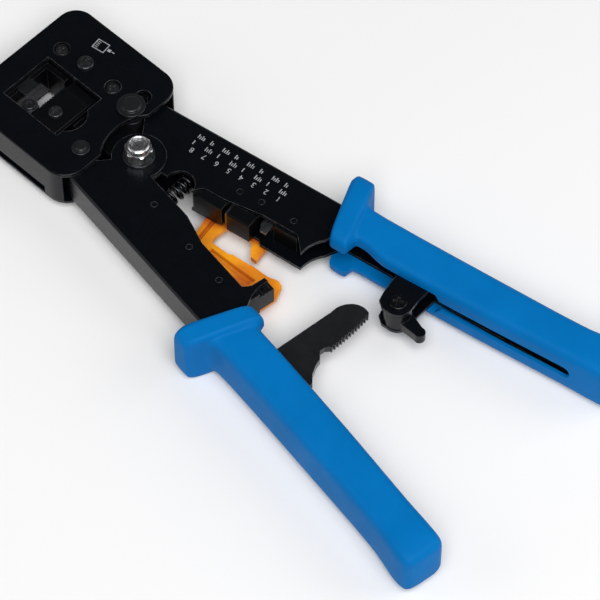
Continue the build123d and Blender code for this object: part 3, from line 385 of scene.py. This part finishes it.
def grip_section(side, at, slot_half, set_back):
    """Rounded section across the grip at one place, notched on its inner side.

    A grip with a set-back also has the hollow for the channel and the ratchet arm's tip.
    """
    outer_out, outer_down, inner_out, inner_down, half = (
        follow(GRIP_LINE, column, at) for column in range(1, 6)
    )
    half = min(half, FLARE_HALF)
    shift = set_back * smooth_step(at, *SET_BACK_RISE) * (1 - smooth_step(at, *SET_BACK_FALL))
    cut = 1.0 - smooth_step(at, SLOT_END - SLOT_FADE, SLOT_END)
    lip = min(slot_half(at), half - SIDE_WALL)
    inside = max(lip, HOLLOW_HALF * cut) if set_back else lip
    reach = (outer_out - inner_out) / 2
    middle_out, middle_down = (outer_out + inner_out) / 2, (outer_down + inner_down) / 2
    slant = (inner_down - outer_down) / (outer_out - inner_out)

    def place(across, up):
        if across < 0:
            across += shift * smooth_step(up, 0.0, SET_BACK_BLEND) * min(1.0, -across / reach)
        return hand(side, middle_out + across, middle_down - slant * across, up)

    def edge_at(up):
        return -reach * (1 - abs(up / half) ** ROUNDNESS) ** (1 / ROUNDNESS)

    start = atan2((lip / half) ** (ROUNDNESS / 2), -(-edge_at(lip) / reach) ** (ROUNDNESS / 2))
    ring = []
    for i in range(SECTION_STEPS + 1):
        angle = start - 2 * start * i / SECTION_STEPS
        c, s = cos(angle), sin(angle)
        ring.append(place(
            reach * abs(c) ** (2 / ROUNDNESS) * (1 if c > 0 else -1),
            half * abs(s) ** (2 / ROUNDNESS) * (1 if s > 0 else -1),
        ))
    deep = ARM_ROOM_DEEP if set_back else SLOT_DEEP
    floor = edge_at(lip) + cut * (deep - middle_out - edge_at(lip))
    middle_floor = edge_at(0.0) * (1 - cut) + floor * cut
    shallow = edge_at(lip) + LIP_DEEP * cut
    behind = shallow + LIP_STEP * cut
    bottom = [place(shallow, -lip), place(behind, -inside), place(floor, -inside)]
    centre = [place(middle_floor, up * lip) for up in (-0.5, 0.0, 0.5)]
    top = [place(floor, inside), place(behind, inside), place(shallow, lip)]
    return ring + bottom + centre + top


def slot_of(wide, narrow):
    """Half-width of a slot: wide beside the flare, then narrow, with a round end."""
    def half_at(at):
        half = wide + (narrow - wide) * smooth_step(at, NECK_START, NECK_START + NECK_TAPER)
        into = max(0.0, (at - SLOT_END + half) / half)
        return max(SLOT_LEAST, half * sqrt(max(0.0, 1 - into * into)))
    return half_at


def grip(side, name, body, slot_half, set_back):
    """Moulded grip in place of a CAD one."""
    rings = [
        grip_section(side, GRIP_LENGTH * i / GRIP_STOPS, slot_half, set_back)
        for i in range(GRIP_STOPS + 1)
    ]
    if side < 0:
        rings = [list(reversed(ring)) for ring in rings]
    points, faces = skin(rings)
    thing = piece(f"{name}_cover", points, faces, FINISHES["blue_plastic"], body)
    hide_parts(name)
    thing.data.set_sharp_from_angle(angle=radians(38))


grip(-1, "left_grip", "left_handle", slot_of(LEFT_SLOT, LEFT_SLOT), 0.0)
grip(1, "right_grip", "right_handle", slot_of(RIGHT_SLOT, RIGHT_NECK), SET_BACK)


# ======================================================================================
# Main pivot's nut, in millimetres
# ======================================================================================
NUT_SIDES = 96
NUT_BORE = 2.5
NUT_REACH = 4.7                  # past the hexagon's corners
COLLAR = 3.6


def nut():
    """Self-locking nut: chamfered hexagon with a collar rolled in at its top."""
    low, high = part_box("pivot_nut")
    centre = middle("pivot_nut")
    flats = (high.y - low.y) / 2 / MM
    tall = (high.z - low.z) / MM
    # (height, largest radius, whether the hexagon cuts it)
    profile = [
        (0.0, NUT_BORE, False), (0.0, 3.9, False), (0.12, 4.15, True), (0.55, NUT_REACH, True),
        (2.95, NUT_REACH, True), (3.35, 4.45, True), (3.62, 4.05, True), (3.70, 3.72, False),
        (3.95, 3.66, False), (tall - 0.85, COLLAR, False), (tall - 0.35, 3.42, False),
        (tall - 0.08, 3.10, False), (tall, 2.85, False), (tall - 0.12, 2.62, False),
        (tall - 0.9, NUT_BORE + 0.05, False), (tall - 1.2, NUT_BORE, False),
    ]
    rings = []
    for height, largest, hexagon in profile:
        ring = []
        for s in range(NUT_SIDES):
            angle = tau * s / NUT_SIDES
            edge = flats / cos(angle % (pi / 3) - pi / 6)
            radius = min(largest, edge) if hexagon else largest
            ring.append(Vector((
                centre.x + radius * cos(angle) * MM, centre.y + radius * sin(angle) * MM,
                low.z + height * MM,
            )))
        rings.append(ring)
    points, faces = skin(rings, closed=True)
    thing = piece("lock_nut", points, faces, FINISHES["zinc"], "left_handle")
    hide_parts("pivot_nut")
    thing.data.set_sharp_from_angle(angle=radians(28))


nut()


# ======================================================================================
# Springs
# ======================================================================================
TURN_STEPS = 28                  # points in each turn of a coil
END_CLOSING = 0.35               # how much closer the end turns lie, from 0 to 1


def coil(name, node, axis, radius, thickness, turns, body):
    """A close-ended compression spring in place of a CAD tube, along axis 0, 1 or 2."""
    low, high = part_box(node)
    centre = (low + high) / 2
    length = (high - low)[axis] - thickness
    steps = turns * TURN_STEPS
    path = []
    for i in range(steps + 1):
        t = i / steps
        along = (t - sin(tau * t) / tau * END_CLOSING - 0.5) * length
        angle = tau * turns * t
        around = [radius * cos(angle), radius * sin(angle)]
        offset = around[:axis] + [along] + around[axis:]
        path.append(centre + Vector(offset))
    points, faces = skin(wire(path, thickness / 2))
    thing = piece(name, points, faces, FINISHES["spring_steel"], body)
    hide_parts(node)
    return thing


main_spring = coil("return_coil", "return_spring", 0, 2.6 * MM, 1.0 * MM, 10, None)
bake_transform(main_spring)
ram_spring = coil("ram_return_coil", "ram_return_spring", 1, 1.35 * MM, 0.45 * MM, 8, None)
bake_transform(ram_spring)
coil("pawl_coil", "pawl_spring", 2, 2.5 * MM, 0.45 * MM, 3, "right_handle")


# ======================================================================================
# Printed marks, in millimetres
# ======================================================================================
PRINT_RISE = 0.02
PRINT_GAP = 0.005                # keeps the marks off the face below them

PINS = 8
FIRST_ROW, ROW_PITCH = 43.5, 4.6    # how far down the handle pin 1 lies, and the step up to pin 2
NUMERAL_OUT, NUMERAL_SIZE = 11.8, 2.7
STROKE_COLUMNS = (17.3, 14.5)    # out from the handle's axis
STROKE_HALF, STROKE_SHORT = 0.8, 0.5    # half-length, and how much shorter every other one is
STROKE_START, STROKE_PITCH, STROKE_WIDE = 1.35, 0.68, 0.34

PLUG_PLACE = (21.0, 38.0)        # on the head, beside the window
PLUG_TURN = radians(8)
PLUG_OUTLINE = [                 # corner (x, y), width and height of each bar
    (-1.6, -2.6, 3.2, 0.3), (-1.6, 1.6, 3.2, 0.3), (-1.9, -2.6, 0.3, 4.5), (1.6, -2.6, 0.3, 4.5),
]
PLUG_CONTACTS = [(-1.15 + 0.7 * i, 0.3, 0.25, 1.0) for i in range(4)]
PLUG_LATCH = [(-0.5, -4.2, 1.0, 1.2), (-0.2, -5.6, 0.4, 1.0)]


def bar(corner, across, along):
    """Points and faces of a thin printed bar: a corner and its two sides, as vectors."""
    lift = Vector((0, 0, PRINT_RISE * MM))
    base = [corner, corner + across, corner + across + along, corner + along]
    points = base + [p + lift for p in base]
    faces = [(3, 2, 1, 0), (4, 5, 6, 7), (0, 1, 5, 4), (1, 2, 6, 5), (2, 3, 7, 6), (3, 0, 4, 7)]
    return points, faces


def printed(name, bars, body):
    """Join printed bars into one piece."""
    points, faces = [], []
    for some_points, some_faces in bars:
        faces += [tuple(i + len(points) for i in face) for face in some_faces]
        points += some_points
    piece(name, points, faces, PRINT, body, smooth=False)


def numeral(name, text, centre, size, turn, body):
    """A printed numeral lying on a flange."""
    curve = bpy.data.curves.new(name, "FONT")
    curve.body = text
    curve.size = size
    curve.align_x = "CENTER"
    curve.align_y = "CENTER"
    curve.extrude = PRINT_RISE * MM
    lettering = bpy.data.objects.new(name, curve)
    bpy.context.scene.collection.objects.link(lettering)
    lettering.matrix_world = Matrix.Translation(centre) @ Matrix.Rotation(turn, 4, "Z")
    bpy.context.view_layer.update()
    graph = bpy.context.evaluated_depsgraph_get()
    mesh = bpy.data.meshes.new_from_object(lettering.evaluated_get(graph))
    mesh.transform(lettering.matrix_world)
    bpy.data.objects.remove(lettering)
    mesh.materials.clear()
    mesh.materials.append(PRINT)
    thing = bpy.data.objects.new(name, mesh)
    bpy.context.scene.collection.objects.link(thing)
    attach(thing, body)


def wiring_chart():
    """A numbered pin chart of eight rows, with plain strokes in place of colour names."""
    top = (RIGHT_FACE - MID_Z) / MM + PRINT_GAP
    strokes = []
    for pin in range(PINS):
        down = FIRST_ROW - ROW_PITCH * pin
        counts = (2 + pin % 2 * 2, 4 - pin % 2 * 3)
        for out, count in zip(STROKE_COLUMNS, counts):
            for i in range(count):
                start = down - STROKE_START + STROKE_PITCH * i
                far = out + STROKE_HALF - STROKE_SHORT * (i % 2)
                corner = hand(1, out - STROKE_HALF, start, top)
                wide = hand(1, out - STROKE_HALF, start + STROKE_WIDE, top) - corner
                strokes.append(bar(corner, wide, hand(1, far, start, top) - corner))
        numeral(
            f"chart_pin_{pin + 1}", str(pin + 1), hand(1, NUMERAL_OUT, down, top),
            NUMERAL_SIZE * MM, pi / 2 + HALF_OPEN, "right_handle",
        )
    printed("chart_bars", strokes, "right_handle")


def plug_mark():
    """A small plug outline printed on the head, beside the window."""
    turn = Matrix.Rotation(PLUG_TURN, 3, "Z")
    centre = head(*PLUG_PLACE, (HEAD_FACE - MID_Z) / MM + PRINT_GAP)
    printed("plug_mark", [
        bar(
            centre + turn @ Vector((x * MM, y * MM, 0)),
            turn @ Vector((wide * MM, 0, 0)), turn @ Vector((0, tall * MM, 0)),
        )
        for x, y, wide, tall in PLUG_OUTLINE + PLUG_CONTACTS + PLUG_LATCH
    ], "head")


wiring_chart()
plug_mark()


# ======================================================================================
# CAD nodes: finish and softened edges
# ======================================================================================
FINE_NODES = {
    "guide_screws", "stop_screw", "cover_screw", "blade_screw", "crimp_punch", "trim_anvil",
    "trim_blade", "cutter_blade", "stripper_blade", "left_pins", "block_pins", "ratchet_arm",
}
EDGE_RADIUS, FINE_EDGE_RADIUS = 0.16 * MM, 0.08 * MM
WELD_REACH = 0.002 * MM
FLAT_ANGLE = radians(0.4)        # facets that turn less than this are one flat face
EDGE_ANGLE = radians(32)         # edges that turn more than this are rounded


def soften(node, thing):
    """Merge the CAD mesh's split corners and round its edges, by modifiers only."""
    for polygon in thing.data.polygons:
        polygon.use_smooth = True
    if "custom_normal" in thing.data.attributes:
        thing.data.attributes.remove(thing.data.attributes["custom_normal"])
    weld = thing.modifiers.new("weld", "WELD")
    weld.merge_threshold = WELD_REACH
    flatten = thing.modifiers.new("flatten", "DECIMATE")
    flatten.decimate_type = "DISSOLVE"
    flatten.angle_limit = FLAT_ANGLE
    bevel = thing.modifiers.new("bevel", "BEVEL")
    bevel.width = FINE_EDGE_RADIUS if node in FINE_NODES else EDGE_RADIUS
    bevel.segments = 2
    bevel.limit_method = "ANGLE"
    bevel.angle_limit = EDGE_ANGLE
    bevel.harden_normals = True


for entry in frame["record"]["subparts"]:
    cad_piece = frame["nodes"][entry["node"]]
    cad_piece.data.materials.clear()
    cad_piece.data.materials.append(FINISHES[entry["material_slot"]])
    soften(entry["node"], cad_piece)


# ======================================================================================
# Studio
# ======================================================================================
FLOOR_HALF = 4.0
FLOOR_GREY = (0.86, 0.86, 0.86)
WORLD_STRENGTH = 0.06
SOFT_BOXES = [                   # name, place, side and power in watts, all aimed at the origin
    ("key", (-0.75, -0.95, 2.1), 1.9, 67.0),
    ("left", (-1.1, 1.0, 0.8), 1.0, 4.5),
    ("right", (1.1, -1.0, 0.9), 1.2, 9.0),
    ("far", (0.95, 0.9, 0.25), 0.8, 1.2),
]

# Viewpoint: azimuth and elevation of the line of sight, and the point it passes through.
AZIMUTH, ELEVATION = radians(-46.421), radians(56.211)
DISTANCE = 1.116
LENS, SENSOR = 224.3, 36.0       # millimetres
TARGET = head(-1.512, -69.079)


def floor():
    corners = ((-1, -1), (1, -1), (1, 1), (-1, 1))
    points = [(x * FLOOR_HALF, y * FLOOR_HALF, 0) for x, y in corners]
    plain = surface("floor", FLOOR_GREY, 0.65, tint=0.01, mottle=2.0, bump=0.000001)
    ground = piece("floor", points, [(0, 1, 2, 3)], plain, None, smooth=False)


def soft_light(name, place, size, power):
    """A square soft box."""
    data = bpy.data.lights.new(name, "AREA")
    data.shape = "SQUARE"
    data.size = size
    data.energy = power
    lamp = bpy.data.objects.new(name, data)
    bpy.context.scene.collection.objects.link(lamp)
    lamp.location = place
    lamp.rotation_mode = "QUATERNION"
    lamp.rotation_quaternion = Vector(place).to_track_quat("Z", "Y")


def studio():
    world = bpy.data.worlds.new("studio")
    bpy.context.scene.world = world
    world.use_nodes = True
    background = world.node_tree.nodes["Background"]
    background.inputs["Color"].default_value = (1.0, 1.0, 1.0, 1.0)
    background.inputs["Strength"].default_value = WORLD_STRENGTH
    for soft_box in SOFT_BOXES:
        soft_light(*soft_box)
    bpy.context.scene.view_settings.view_transform = "Standard"


def camera():
    data = bpy.data.cameras.new("camera")
    data.lens = LENS
    data.sensor_width = SENSOR
    eye = bpy.data.objects.new("camera", data)
    bpy.context.scene.collection.objects.link(eye)
    back = Vector((
        sin(AZIMUTH) * cos(ELEVATION), -cos(AZIMUTH) * cos(ELEVATION), sin(ELEVATION)
    ))
    eye.location = TARGET + back * DISTANCE
    eye.rotation_mode = "QUATERNION"
    eye.rotation_quaternion = back.to_track_quat("Z", "Y")
    bpy.context.scene.camera = eye


floor()
studio()
camera()
